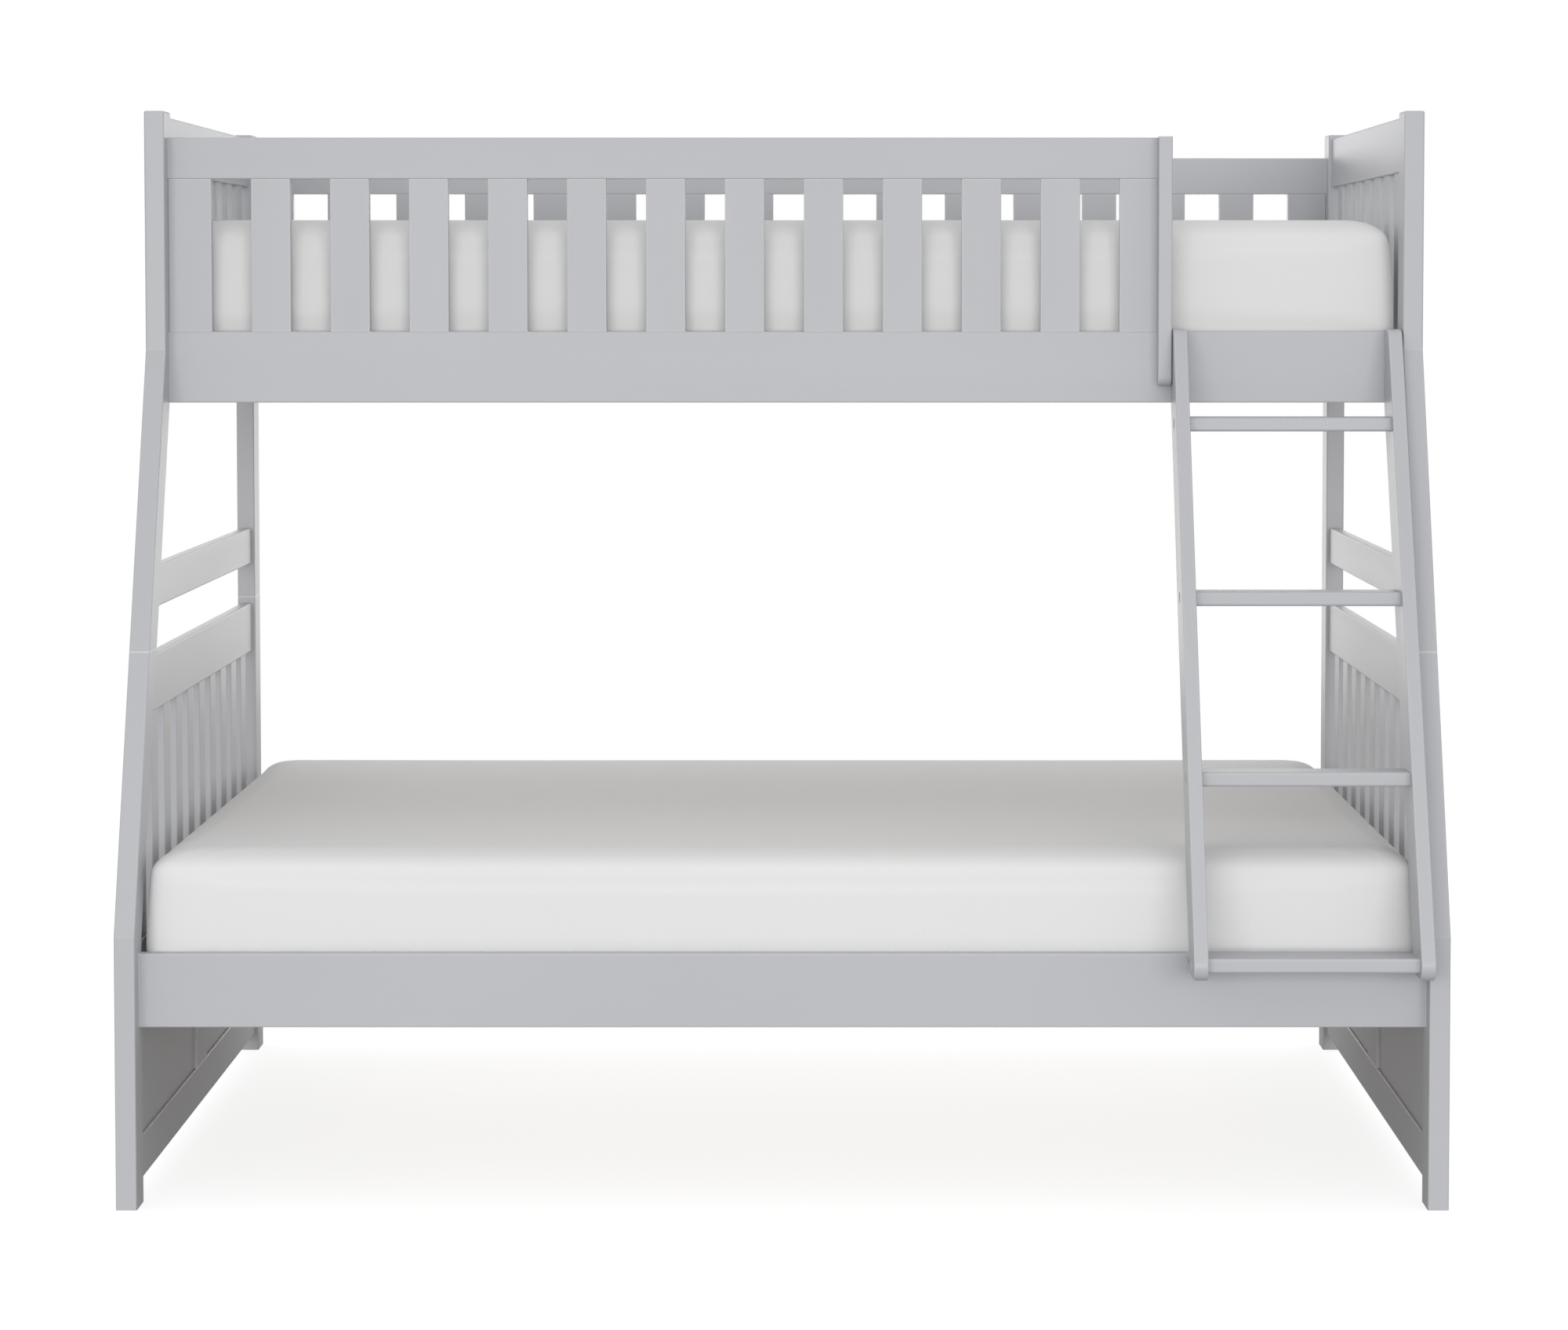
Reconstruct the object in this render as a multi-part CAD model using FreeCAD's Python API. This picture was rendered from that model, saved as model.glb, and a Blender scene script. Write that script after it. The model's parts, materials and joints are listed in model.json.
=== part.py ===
import FreeCAD, Part
import math
import os

from FreeCAD import Vector

# Bunk bed with a single upper bed over a wider lower bed, and a leaning ladder.
# Millimetres.  X runs along the bed, -Y is the front, +Z is up.
# The origin is on the floor, at the middle of the whole outline, ladder included.

# Overall size
LENGTH = 2038.0
WIDTH = 1448.0
HEIGHT = 1690.0
LADDER_STANDS_OUT = 91.4

# Posts
POST_THICK = 32.0
POST_WIDE = 68.0
UPPER_SET_BACK = 354.0
KNEE_Z = 420.0
BEND_Z = 1310.0
SEAM_Z = 842.0
PIN_R = 5.0
PIN_LONG = 70.0

# Side rails, their cleats and the slats under the mattresses
RAIL_THICK = 22.0
RAIL_HIGH = 114.0
RAIL_RECESS = 36.0
REAR_RAIL_RECESS = 4.0
LOWER_RAIL_Z = 276.0
UPPER_RAIL_Z = 1225.0
CLEAT_THICK = 25.0
CLEAT_HIGH = 30.0
UPPER_CLEAT_UP = 43.0
LOWER_CLEAT_UP = 23.0
CLEAT_LONG = 1860.0
SLAT_THICK = 18.0
SLAT_WIDE = 75.0
SLAT_COUNT = 13
SLAT_END_GAP = 6.0

# Guards along the upper bed
GUARD_RAIL_Z = 1583.0
GUARD_RAIL_HIGH = 66.0
GUARD_SLAT_THICK = 20.0
GUARD_SLAT_WIDE = 63.0
GUARD_GAP = 63.5
GUARD_STILE_WIDE = 69.0
GUARD_OPENING = 368.0
FRONT_GUARD_SLATS = 11
REAR_GUARD_SLATS = 14
BATTEN_WIDE = 22.0
BATTEN_DEEP = 30.0
BATTEN_Z = (1253.0, 1650.0)

# End frames
END_THICK = 19.0
END_SLAT_THICK = 12.0
END_SLAT_WIDE = 63.5
END_TOP_Z = (1595.0, 1683.0)
END_LOW_Z = (1237.0, 1327.0)
UPPER_END_SLATS = 7
BRACE_Z = (904.0, 969.0)
LOWER_TOP_Z = (742.0, 831.0)
LOWER_MID_Z = (310.0, 400.0)
LOWER_FOOT_Z = (30.0, 97.0)
LOWER_END_SLATS = 10
LOWER_END_PITCH = 126.5
LOWER_END_LAST_GAP = 60.0
STILE_WIDE = 114.0
PANEL_THICK = 9.0

# Ladder
LADDER_OUTER_X = 984.0
LADDER_WIDE = 364.0
LADDER_BOARD_THICK = 22.0
LADDER_BOARD_DEEP = 100.0
LADDER_LEAN = 0.4597
LADDER_REF_OUT = 17.0
LADDER_REF_Z = 1325.0
LADDER_Z = (366.0, 1343.0)
RUNG_COUNT = 4
RUNG_TOP_Z = (399.0, 1204.0)
RUNG_HIGH = 22.5
RUNG_DEEP = 55.0
RUNG_SET_BACK = 23.0
RUNG_HOUSING = 6.0
HOOK_WIDE = 16.0
HOOK_THICK = 2.5
HOOK_DROP = 38.0
BUMPER_R = 9.0
BUMPER_Z = 379.0

# Mattresses
MATTRESS_LONG = 1971.0
UPPER_MATTRESS_WIDE = 990.0
UPPER_MATTRESS_HIGH = 203.0
LOWER_MATTRESS_WIDE = 1358.0
LOWER_MATTRESS_HIGH = 196.0
MATTRESS_CORNER_ROUND = 26.0
MATTRESS_TOP_ROUND = 60.0
MATTRESS_BOTTOM_ROUND = 16.0
MATTRESS_WALL = 14.0

# Joints and fits
TENON_THICK = 11.0
TENON_LONG = 16.0
TENON_SHOULDER = 8.0
HOUSING = 10.0
PANEL_TONGUE = 7.0
FIT = 0.15
REST_GAP = 0.4
EASE = 2.5
POST_EASE = 3.0

# Fasteners
BOLT_R = 3.0
BOLT_HEAD_R = 6.5
BOLT_HEAD_HIGH = 5.0
BOLT_SINK = 7.0
BOLT_LONG = 78.0
BOLT_INSET = 30.0
NUT_R = 5.0
NUT_LONG = 16.0
NUT_BACK = 38.0
SCREW_R = 2.0
SCREW_HEAD_R = 4.0
SCREW_HEAD_HIGH = 2.5

# Places worked out from the sizes above
OUTER_X = LENGTH / 2
INNER_X = OUTER_X - POST_THICK
END_X = OUTER_X - POST_THICK / 2
MIDDLE_Y = LADDER_STANDS_OUT / 2
FRONT_Y = MIDDLE_Y - WIDTH / 2
REAR_Y = MIDDLE_Y + WIDTH / 2
UPPER_FRONT_Y = FRONT_Y + UPPER_SET_BACK
REAR_POST_Y = REAR_Y - POST_WIDE
SLOPE = UPPER_SET_BACK / (BEND_Z - KNEE_Z)
MITRE = POST_WIDE * math.tan(math.atan(SLOPE) / 2)
UPPER_FRONT_RAIL_Y = (UPPER_FRONT_Y + RAIL_RECESS, UPPER_FRONT_Y + RAIL_RECESS + RAIL_THICK)
LOWER_FRONT_RAIL_Y = (FRONT_Y + RAIL_RECESS, FRONT_Y + RAIL_RECESS + RAIL_THICK)
REAR_RAIL_Y = (REAR_Y - REAR_RAIL_RECESS - RAIL_THICK, REAR_Y - REAR_RAIL_RECESS)
UPPER_RAIL_TOP = UPPER_RAIL_Z + RAIL_HIGH
UPPER_CLEAT_Z = UPPER_RAIL_Z + UPPER_CLEAT_UP
LOWER_CLEAT_Z = LOWER_RAIL_Z + LOWER_CLEAT_UP
GUARD_END_X = INNER_X - GUARD_OPENING
LADDER_INNER_X = LADDER_OUTER_X - LADDER_WIDE

AXIS = {"x": Vector(1, 0, 0), "y": Vector(0, 1, 0), "z": Vector(0, 0, 1)}
pieces = {}


def middle(pair):
    return (pair[0] + pair[1]) / 2


def grow(pair, gap):
    return (pair[0] - gap, pair[1] + gap)


def around(centre, width):
    return (centre - width / 2, centre + width / 2)


def block(x, y, z):
    """A square-edged block between the pairs x, y and z."""
    return Part.makeBox(x[1] - x[0], y[1] - y[0], z[1] - z[0], Vector(x[0], y[0], z[0]))


def side_shape(outline, x):
    """A board whose outline, a list of (y, z) corners, is drawn across the bed."""
    corners = [Vector(x[0], y, z) for y, z in outline]
    face = Part.Face(Part.makePolygon(corners + corners[:1]))
    return face.extrude(Vector(x[1] - x[0], 0, 0))


def ease(shape, radius, wanted):
    """Round the edges that the test `wanted` picks."""
    return shape.makeFillet(radius, [edge for edge in shape.Edges if wanted(edge)])


def along(axis):
    """A test for straight edges that run along one axis."""
    def wanted(edge):
        return abs(edge.tangentAt(edge.FirstParameter).dot(AXIS[axis])) > 0.999
    return wanted


def eased_block(x, y, z, axis, radius=EASE):
    return ease(block(x, y, z), radius, along(axis))


def rod(start, axis, length, radius):
    """A round bar from `start`; a negative length runs the other way."""
    way = AXIS[axis] * (1 if length > 0 else -1)
    return Part.makeCylinder(radius, abs(length), Vector(*start), way)


def screw(start, axis, length, radius=SCREW_R, head_radius=SCREW_HEAD_R, head=SCREW_HEAD_HIGH):
    """A flat-headed screw whose head's top is at `start`."""
    shank = rod(start, axis, length, radius)
    top = rod(start, axis, math.copysign(head, length), head_radius)
    return shank.fuse(top).removeSplitter()


def cut_all(shape, tools):
    """Cut every tool out of the shape, and keep one clean solid."""
    if not tools:
        return shape
    return shape.cut(tools[0].multiFuse(tools[1:]) if len(tools) > 1 else tools[0]).removeSplitter()


def mirrored(shape):
    return shape.mirror(Vector(0, 0, 0), AXIS["x"])


def both_ends(shapes):
    return shapes + [mirrored(shape) for shape in shapes]


def keep(name, shapes):
    """Store one named node, made of one solid or of several alike."""
    pieces[name] = shapes if isinstance(shapes, list) else [shapes]


def keep_pair(name, shapes):
    """Store a node at the right end and its mirror image at the left end."""
    shapes = shapes if isinstance(shapes, list) else [shapes]
    keep(name + "_right", shapes)
    keep(name + "_left", [mirrored(shape) for shape in shapes])


# ---- the slanting front post ----

def post_front(z):
    """How far forward the front post's face is at height z."""
    return FRONT_Y + SLOPE * (min(max(z, KNEE_Z), BEND_Z) - KNEE_Z)


def slant_back(z):
    """How far back the front post's slanting rear face is at height z."""
    knee = KNEE_Z - MITRE
    return FRONT_Y + POST_WIDE + SLOPE * (min(max(z, knee), BEND_Z - MITRE) - knee)


def post_back(z):
    """The front post's rear face at height z: left square where the side rail is bolted on."""
    return UPPER_FRONT_Y + POST_WIDE if z >= UPPER_RAIL_Z else slant_back(z)


def post_outline_edge(edge):
    """The long edges of a post and those round its top, but not its foot or its seam."""
    box = edge.BoundBox
    if box.ZLength > 1:
        return box.XLength < 0.01
    return abs(box.ZMin - HEIGHT) < 0.01


def front_post_blanks():
    x = (INNER_X, OUTER_X)
    lower = [(FRONT_Y, 0), (FRONT_Y, KNEE_Z), (post_front(SEAM_Z), SEAM_Z),
             (post_back(SEAM_Z), SEAM_Z), (FRONT_Y + POST_WIDE, KNEE_Z - MITRE),
             (FRONT_Y + POST_WIDE, 0)]
    upper = [(post_front(SEAM_Z), SEAM_Z), (UPPER_FRONT_Y, BEND_Z), (UPPER_FRONT_Y, HEIGHT),
             (UPPER_FRONT_Y + POST_WIDE, HEIGHT), (UPPER_FRONT_Y + POST_WIDE, UPPER_RAIL_Z),
             (slant_back(UPPER_RAIL_Z), UPPER_RAIL_Z), (post_back(SEAM_Z), SEAM_Z)]
    return [ease(side_shape(outline, x), POST_EASE, post_outline_edge) for outline in (lower, upper)]


def rear_post_blanks():
    x = (INNER_X, OUTER_X)
    y = (REAR_POST_Y, REAR_Y)
    return [ease(block(x, y, z), POST_EASE, post_outline_edge)
            for z in ((0, SEAM_Z), (SEAM_Z, HEIGHT))]


def post_pin(y, gap=0.0):
    start = (END_X, y, SEAM_Z - PIN_LONG / 2 - gap)
    return rod(start, "z", PIN_LONG + 2 * gap, PIN_R + gap)


# ---- end frames: rails tenoned into the posts, slats and panels housed between them ----

def end_rail(z, gap=0.0):
    """A rail across one end, shaped to the posts, with a tenon at each end.

    With a gap, the same shape grown a little: the cutter for the posts' mortises."""
    x = around(END_X, END_THICK)
    body = side_shape([(post_back(z[0]), z[0]), (REAR_POST_Y, z[0]),
                       (REAR_POST_Y, z[1]), (post_back(z[1]), z[1])], x)
    low = z[0] + TENON_SHOULDER - gap
    high = z[1] - TENON_SHOULDER + gap
    reach = TENON_LONG + gap
    tenon = side_shape([(post_back(low) - reach, low), (REAR_POST_Y + reach, low),
                        (REAR_POST_Y + reach, high), (post_back(high) - reach, high)],
                       around(END_X, TENON_THICK + 2 * gap))
    if gap:
        return tenon
    return ease(body, EASE, end_rail_edge).fuse(tenon).removeSplitter()


def end_rail_edge(edge):
    """The four long edges of an end rail."""
    return edge.BoundBox.YLength > 300 and edge.BoundBox.ZLength < 0.01


def upper_slat_starts():
    room = REAR_POST_Y - (UPPER_FRONT_Y + POST_WIDE)
    gap = (room - UPPER_END_SLATS * END_SLAT_WIDE) / (UPPER_END_SLATS + 1)
    return [UPPER_FRONT_Y + POST_WIDE + gap + i * (END_SLAT_WIDE + gap) for i in range(UPPER_END_SLATS)]


def lower_slat_starts():
    last = REAR_POST_Y - LOWER_END_LAST_GAP - END_SLAT_WIDE
    return [last - i * LOWER_END_PITCH for i in range(LOWER_END_SLATS)]


def end_slat(start, z, gap=0.0):
    """An upright slat, let into the rails above and below it."""
    x = around(END_X, END_SLAT_THICK + 2 * gap)
    y = grow((start, start + END_SLAT_WIDE), gap)
    low = z[0] - HOUSING - gap
    high = z[1] + HOUSING + gap
    if y[0] > post_back(high):
        slat = block(x, y, (low, high))
    else:
        tops = [KNEE_Z - MITRE + (edge - FRONT_Y - POST_WIDE) / SLOPE for edge in y]
        slat = side_shape([(y[0], low), (y[1], low), (y[1], tops[1]), (y[0], tops[0])], x)
    return slat if gap else ease(slat, EASE, along("z"))


def panel(y, gap=0.0):
    """A thin panel held in grooves all round."""
    reach = PANEL_TONGUE + gap
    return block(around(END_X, PANEL_THICK + 2 * gap), grow(y, reach),
                 (LOWER_FOOT_Z[1] - reach, LOWER_MID_Z[0] + reach))


def panel_spans():
    return [(FRONT_Y + POST_WIDE, MIDDLE_Y - STILE_WIDE / 2), (MIDDLE_Y + STILE_WIDE / 2, REAR_POST_Y)]


def stile(gap=0.0):
    """The upright between the two panels, tenoned into the rails."""
    z = (LOWER_FOOT_Z[1], LOWER_MID_Z[0])
    tenon = block(around(END_X, TENON_THICK + 2 * gap),
                  around(MIDDLE_Y, STILE_WIDE - 2 * (TENON_SHOULDER + PANEL_TONGUE) + 2 * gap),
                  grow(z, TENON_LONG + gap))
    if gap:
        return tenon
    return block(around(END_X, END_THICK), around(MIDDLE_Y, STILE_WIDE), z).fuse(tenon).removeSplitter()


def build_end_frames():
    """Both end frames; returns the cutters that the posts need."""
    upper_z = (END_LOW_Z[1], END_TOP_Z[0])
    lower_z = (LOWER_MID_Z[1], LOWER_TOP_Z[0])
    upper_housings = [end_slat(start, upper_z, FIT) for start in upper_slat_starts()]
    lower_housings = [end_slat(start, lower_z, FIT) for start in lower_slat_starts()]
    grooves = [panel(span, FIT) for span in panel_spans()]
    rails = {
        "upper_end_top_rail": (END_TOP_Z, upper_housings),
        "upper_end_low_rail": (END_LOW_Z, upper_housings),
        "brace_rail": (BRACE_Z, []),
        "lower_end_top_rail": (LOWER_TOP_Z, lower_housings),
        "lower_end_mid_rail": (LOWER_MID_Z, lower_housings + grooves + [stile(FIT)]),
        "lower_end_bottom_rail": (LOWER_FOOT_Z, grooves + [stile(FIT)]),
    }
    for name, (z, tools) in rails.items():
        keep_pair(name, cut_all(end_rail(z), tools))
    keep_pair("upper_end_slats", [end_slat(start, upper_z) for start in upper_slat_starts()])
    keep_pair("lower_end_slats", [end_slat(start, lower_z) for start in lower_slat_starts()])
    keep_pair("lower_end_stile", cut_all(stile(), grooves))
    keep_pair("lower_end_panels", [panel(span) for span in panel_spans()])
    return [end_rail(z, FIT) for z, tools in rails.values()] + grooves


# ---- side rails, guards and what joins them to the posts ----

def bolt_places():
    """(y, z) of every bolt through a right-hand post into a rail's end."""
    places = []
    for y, low in ((UPPER_FRONT_RAIL_Y, UPPER_RAIL_Z), (LOWER_FRONT_RAIL_Y, LOWER_RAIL_Z),
                   (REAR_RAIL_Y, UPPER_RAIL_Z), (REAR_RAIL_Y, LOWER_RAIL_Z)):
        for z in (low + BOLT_INSET, low + RAIL_HIGH - BOLT_INSET):
            places.append((middle(y), z))
    places.append((middle(REAR_RAIL_Y), GUARD_RAIL_Z + GUARD_RAIL_HIGH / 2))
    return places


def front_guard_bolt_place():
    return (middle(UPPER_FRONT_RAIL_Y), GUARD_RAIL_Z + GUARD_RAIL_HIGH / 2)


def frame_bolt(place, gap=0.0):
    """A bolt from the post's outer face, its head sunk below the face."""
    y, z = place
    head_x = OUTER_X - BOLT_SINK + BOLT_HEAD_HIGH
    shank = rod((head_x, y, z), "x", -(BOLT_LONG + gap), BOLT_R + gap)
    depth = BOLT_HEAD_HIGH if not gap else BOLT_SINK + 1
    start = OUTER_X - BOLT_SINK
    head = rod((start, y, z), "x", depth, BOLT_HEAD_R + 2 * gap)
    return shank.fuse(head).removeSplitter()


def barrel_nut(place, gap=0.0):
    """The cross dowel in the rail that the bolt screws into.

    It goes in from the side where the bed is, but a rear guard's from behind."""
    y, z = place
    start = (INNER_X - NUT_BACK, y - NUT_LONG / 2 - gap, z)
    length = NUT_LONG + gap + (RAIL_THICK if gap else 0)
    if y > 0 and z < UPPER_RAIL_TOP:
        start = (INNER_X - NUT_BACK, y + NUT_LONG / 2 + gap, z)
        length = -length
    nut = rod(start, "y", length, NUT_R + gap)
    if gap:
        return nut
    bore = rod((INNER_X, y, z), "x", -2 * NUT_BACK, BOLT_R + FIT)
    return nut.cut(bore)


def guard_slat(start, width, y, gap=0.0):
    """An upright of a guard, with a stub tenon at the top and the bottom."""
    z = (UPPER_RAIL_TOP, GUARD_RAIL_Z)
    tenon = block(grow((start + TENON_SHOULDER, start + width - TENON_SHOULDER), gap),
                  around(middle(y), TENON_THICK + 2 * gap), grow(z, HOUSING + gap))
    if gap:
        return tenon
    body = eased_block((start, start + width), around(middle(y), GUARD_SLAT_THICK), z, "z", 1.5)
    return body.fuse(tenon).removeSplitter()


def guard_uprights(y, first, last_width, count):
    """(stiles, slats) as (start, width) pairs, from the left post onwards."""
    left = -INNER_X
    slats = [(left + first + GUARD_GAP + i * (GUARD_SLAT_WIDE + GUARD_GAP), GUARD_SLAT_WIDE)
             for i in range(count)]
    last_start = left + first + GUARD_GAP + count * (GUARD_SLAT_WIDE + GUARD_GAP)
    return [(left, first), (last_start, last_width)], slats


def build_guard(side, y, stiles, slats, right_x, drilled):
    """One guard; returns the mortise cutters for the side rail under it."""
    mortises = [guard_slat(start, width, y, FIT) for start, width in stiles + slats]
    rail = eased_block((-INNER_X, right_x), y, (GUARD_RAIL_Z, GUARD_RAIL_Z + GUARD_RAIL_HIGH), "x")
    keep("guard_%s_top_rail" % side, cut_all(rail, mortises + drilled))
    keep("guard_%s_stiles" % side, [guard_slat(start, width, y) for start, width in stiles])
    keep("guard_%s_slats" % side, [guard_slat(start, width, y) for start, width in slats])
    return mortises


def batten_screw(z, gap=0.0):
    x = GUARD_END_X - BATTEN_WIDE / 2
    start = (x, UPPER_FRONT_RAIL_Y[1] + gap, z)
    return screw(start, "y", -(RAIL_THICK + BATTEN_DEEP * 0.6 + gap), SCREW_R + gap,
                 SCREW_HEAD_R + gap, SCREW_HEAD_HIGH + gap)


def build_guards(drillings):
    """Both guards and the batten at the ladder end; returns cutters for the two upper rails."""
    front_y = UPPER_FRONT_RAIL_Y
    right_stile = GUARD_END_X + INNER_X - GUARD_STILE_WIDE - GUARD_GAP
    right_stile -= FRONT_GUARD_SLATS * (GUARD_SLAT_WIDE + GUARD_GAP)
    stiles, slats = guard_uprights(front_y, GUARD_STILE_WIDE, right_stile, FRONT_GUARD_SLATS)
    screws_z = [UPPER_RAIL_TOP - BOLT_INSET * 1.5, middle((UPPER_RAIL_TOP, GUARD_RAIL_Z)),
                GUARD_RAIL_Z + GUARD_RAIL_HIGH / 2]
    drilled = [batten_screw(z, FIT) for z in screws_z]
    front = build_guard("front", front_y, stiles, slats, GUARD_END_X, drillings + drilled)
    pieces["guard_front_stiles"][1] = cut_all(pieces["guard_front_stiles"][1], drilled)
    rear_slats = REAR_GUARD_SLATS * GUARD_SLAT_WIDE + (REAR_GUARD_SLATS + 1) * GUARD_GAP
    rear_stile = INNER_X - rear_slats / 2
    stiles, slats = guard_uprights(REAR_RAIL_Y, rear_stile, rear_stile, REAR_GUARD_SLATS)
    rear = build_guard("rear", REAR_RAIL_Y, stiles, slats, INNER_X, drillings)
    batten = block((GUARD_END_X - BATTEN_WIDE, GUARD_END_X), (front_y[0] - BATTEN_DEEP, front_y[0]), BATTEN_Z)
    batten = ease(batten, 12.0, lower_front_edge)
    batten = ease(batten, EASE, front_edge)
    keep("guard_end_batten", cut_all(batten, drilled))
    keep("batten_screws", [batten_screw(z) for z in screws_z])
    return front + drilled, rear


def lower_front_edge(edge):
    box = edge.BoundBox
    return box.ZMax < BATTEN_Z[0] + 0.01 and box.YMax < UPPER_FRONT_RAIL_Y[0] - BATTEN_DEEP + 0.01


def front_edge(edge):
    box = edge.BoundBox
    return box.ZLength > 300 and box.YMax < UPPER_FRONT_RAIL_Y[0] - BATTEN_DEEP + 0.01


def cleat_screw(rail_y, x, z, gap=0.0):
    """A screw through a cleat into the side rail behind it."""
    inwards = 1 if rail_y[0] < 0 else -1
    face = rail_y[1] if inwards > 0 else rail_y[0]
    start = (x, face + inwards * (CLEAT_THICK + gap), z)
    return screw(start, "y", -inwards * (CLEAT_THICK + RAIL_THICK * 0.6 + gap), SCREW_R + gap,
                 SCREW_HEAD_R + gap, SCREW_HEAD_HIGH + gap)


def slat_screw(x, y, top, gap=0.0):
    return screw((x, y, top + gap), "z", -(SLAT_THICK + CLEAT_HIGH * 0.7 + gap), SCREW_R + gap,
                 SCREW_HEAD_R + gap, SCREW_HEAD_HIGH + gap)


def build_bed_base(name, cleat_low, front_y):
    """Cleats, slats and screws of one bed; returns the screw cutters for its two side rails."""
    cleat_z = (cleat_low, cleat_low + CLEAT_HIGH)
    top = cleat_z[1] + SLAT_THICK
    reach = (front_y[1] + SLAT_END_GAP, REAR_RAIL_Y[0] - SLAT_END_GAP)
    pitch = (CLEAT_LONG - SLAT_WIDE) / (SLAT_COUNT - 1)
    slat_x = [-CLEAT_LONG / 2 + SLAT_WIDE / 2 + i * pitch for i in range(SLAT_COUNT)]
    screw_y = (front_y[1] + CLEAT_THICK * 0.6, REAR_RAIL_Y[0] - CLEAT_THICK * 0.6)
    cleat_x = [-CLEAT_LONG / 2 + SLAT_WIDE + pitch * (i + 0.5) for i in (0, 3, 6, 9)]
    cleats = []
    cleat_screws = []
    cleat_y = ((front_y[1], front_y[1] + CLEAT_THICK), (REAR_RAIL_Y[0] - CLEAT_THICK, REAR_RAIL_Y[0]))
    for rail_y, inner, line in zip((front_y, REAR_RAIL_Y), cleat_y, screw_y):
        places = [(rail_y, x, middle(cleat_z)) for x in cleat_x]
        tools = [cleat_screw(*place, gap=FIT) for place in places]
        tools += [slat_screw(x, line, top, FIT) for x in slat_x]
        cleats.append(cut_all(block(around(0, CLEAT_LONG), inner, cleat_z), tools))
        cleat_screws += [cleat_screw(*place) for place in places]
    slats = []
    for x in slat_x:
        slat = eased_block(around(x, SLAT_WIDE), reach, (cleat_z[1], top), "y", 2.0)
        slats.append(cut_all(slat, [slat_screw(x, y, top, FIT) for y in screw_y]))
    keep(name + "_cleats", cleats)
    keep(name + "_slats", slats)
    keep(name + "_slat_screws", [slat_screw(x, y, top) for x in slat_x for y in screw_y])
    keep(name + "_cleat_screws", cleat_screws)
    return [[cleat_screw(y, x, middle(cleat_z), FIT) for x in cleat_x] for y in (front_y, REAR_RAIL_Y)]


def side_rail(y, z, tools):
    return cut_all(eased_block((-INNER_X, INNER_X), y, (z, z + RAIL_HIGH), "x"), tools)


# ---- ladder ----

def ladder_front(z):
    """How far forward the leaning boards' front edge is at height z."""
    return UPPER_FRONT_Y - LADDER_REF_OUT - LADDER_LEAN * (LADDER_REF_Z - z)


def ladder_back_y():
    return UPPER_FRONT_RAIL_Y[0] - REST_GAP


def rung_heights():
    pitch = (RUNG_TOP_Z[1] - RUNG_TOP_Z[0]) / (RUNG_COUNT - 1)
    return [RUNG_TOP_Z[0] + i * pitch for i in range(RUNG_COUNT)]


def rung(top, gap=0.0):
    centre = top - RUNG_HIGH / 2
    front = ladder_front(centre) + RUNG_SET_BACK
    reach = LADDER_BOARD_THICK - RUNG_HOUSING - gap
    x = (LADDER_INNER_X + reach, LADDER_OUTER_X - reach)
    shape = eased_block(x, (front, front + RUNG_DEEP), (top - RUNG_HIGH, top), "x", 4.0)
    if not gap:
        return shape
    return block(x, grow((front, front + RUNG_DEEP), gap), grow((top - RUNG_HIGH, top), gap))


def ladder_bolt(top, left, gap=0.0):
    """A bolt through a board into the end of a rung, its head in a round recess."""
    y = ladder_front(top - RUNG_HIGH / 2) + RUNG_SET_BACK + RUNG_DEEP / 2
    z = top - RUNG_HIGH / 2
    way = 1 if left else -1
    face = LADDER_INNER_X if left else LADDER_OUTER_X
    start = (face + way * (BOLT_SINK - BOLT_HEAD_HIGH), y, z)
    shank = rod(start, "x", way * (BOLT_LONG * 0.8 + gap), BOLT_R + gap)
    head = rod(start, "x", way * BOLT_HEAD_HIGH, BOLT_HEAD_R)
    if gap:
        head = rod((face - way, y, z), "x", way * (BOLT_SINK + 1), BOLT_HEAD_R + 2.5)
    return shank.fuse(head).removeSplitter()


def board_outline():
    low, high = LADDER_Z
    back = ladder_back_y()
    turn = LADDER_REF_Z + (back - LADDER_BOARD_DEEP - ladder_front(LADDER_REF_Z)) / LADDER_LEAN
    return [(back, high), (ladder_front(high), high), (ladder_front(low), low),
            (ladder_front(low) + LADDER_BOARD_DEEP, low), (back, turn)]


def ladder_board(x, left):
    board = side_shape(board_outline(), x)
    front_top = ladder_front(LADDER_Z[1])
    front_low = ladder_front(LADDER_Z[0])
    for y, z, radius in ((front_top, LADDER_Z[1], 20.0), (front_low, LADDER_Z[0], 22.0),
                         (front_low + LADDER_BOARD_DEEP, LADDER_Z[0], 12.0)):
        board = ease(board, radius, crosses(y, z))
    board = ease(board, EASE, lambda edge: edge.BoundBox.XLength < 0.01)
    tools = [rung(top, FIT) for top in rung_heights()]
    tools += [ladder_bolt(top, left, FIT) for top in rung_heights()]
    tools += [hook_rebate(middle(x)), bumper(middle(x), FIT)]
    tools += [hook_screw(middle(x), z, FIT) for z in hook_screw_heights()]
    return cut_all(board, tools)


def crosses(y, z):
    """A test for the edge along X that passes through (y, z)."""
    def wanted(edge):
        box = edge.BoundBox
        return box.XLength > 1 and abs(middle((box.YMin, box.YMax)) - y) < 0.1 \
            and abs(middle((box.ZMin, box.ZMax)) - z) < 0.1
    return wanted


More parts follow.
